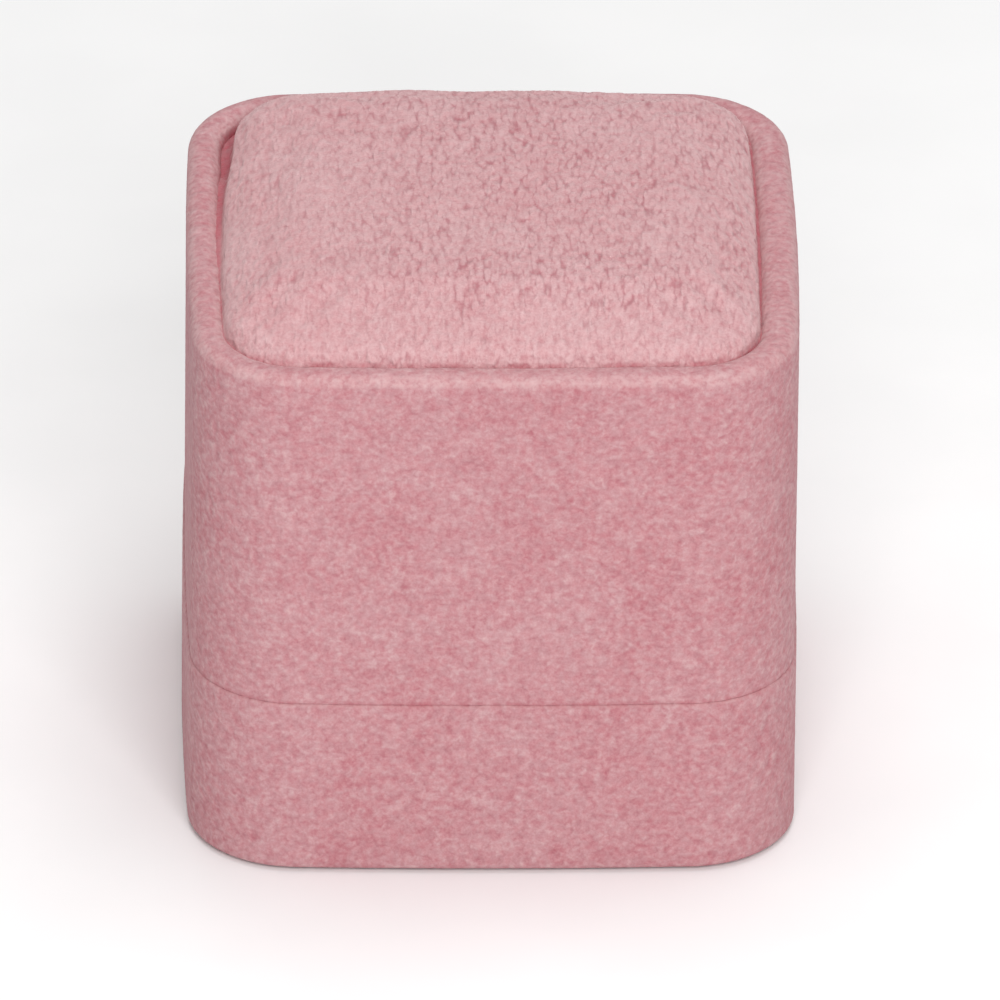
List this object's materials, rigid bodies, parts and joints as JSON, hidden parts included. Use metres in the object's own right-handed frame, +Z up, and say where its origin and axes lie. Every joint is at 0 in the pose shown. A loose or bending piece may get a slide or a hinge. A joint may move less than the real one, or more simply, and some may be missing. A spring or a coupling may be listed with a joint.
{
  "type": "jewelry box",
  "caption": "Small rounded-square velvet ring box: a tall lift-off lid with a padded top set inside its rim, over a short base with an inner collar and a slotted ring cushion.",
  "frame": {"origin": "centre of the footprint, on the surface the box stands on", "axes": "+Z up, the way the lid lifts; -Y is the front, +Y the back, where the wrap's butt seam is; X runs along the ring slot"},
  "size_m": [0.0604, 0.0604, 0.0595],
  "materials": {
    "velvet": "matte",
    "velvet_pad": "matte",
    "velvet_inside": "matte",
    "lining": "matte",
    "satin": "satin",
    "greyboard": "matte",
    "white_card": "matte",
    "foam": "matte",
    "underside_paper": "matte"
  },
  "bodies": {
    "base": {"base_wall_board": "greyboard", "base_floor_board": "greyboard", "base_outer_velvet": "velvet", "base_underside_panel": "underside_paper", "neck_board": "greyboard", "neck_velvet": "velvet_inside", "cushion_riser_foam": "foam"},
    "lid": {"lid_wall_board": "greyboard", "lid_outer_velvet": "velvet", "lid_top_board": "greyboard", "lid_pad_card": "white_card", "lid_pad_foam": "foam", "lid_pad_velvet": "velvet_pad", "lid_lining_sleeve": "lining", "lid_ceiling_card": "white_card", "lid_ceiling_foam": "foam", "lid_ceiling_satin": "satin"},
    "cushion": {"cushion_card": "white_card", "cushion_foam_front": "foam", "cushion_foam_rear": "foam", "cushion_velvet": "velvet_inside"}
  },
  "joints": [
    {"name": "lid_lift", "type": "slide", "parent": "base", "child": "lid", "axis": [0, 0, 1], "range_m": [0, 0.045]},
    {"name": "cushion_lift", "type": "slide", "parent": "base", "child": "cushion", "axis": [0, 0, 1], "range_m": [0, 0.0176]}
  ]
}
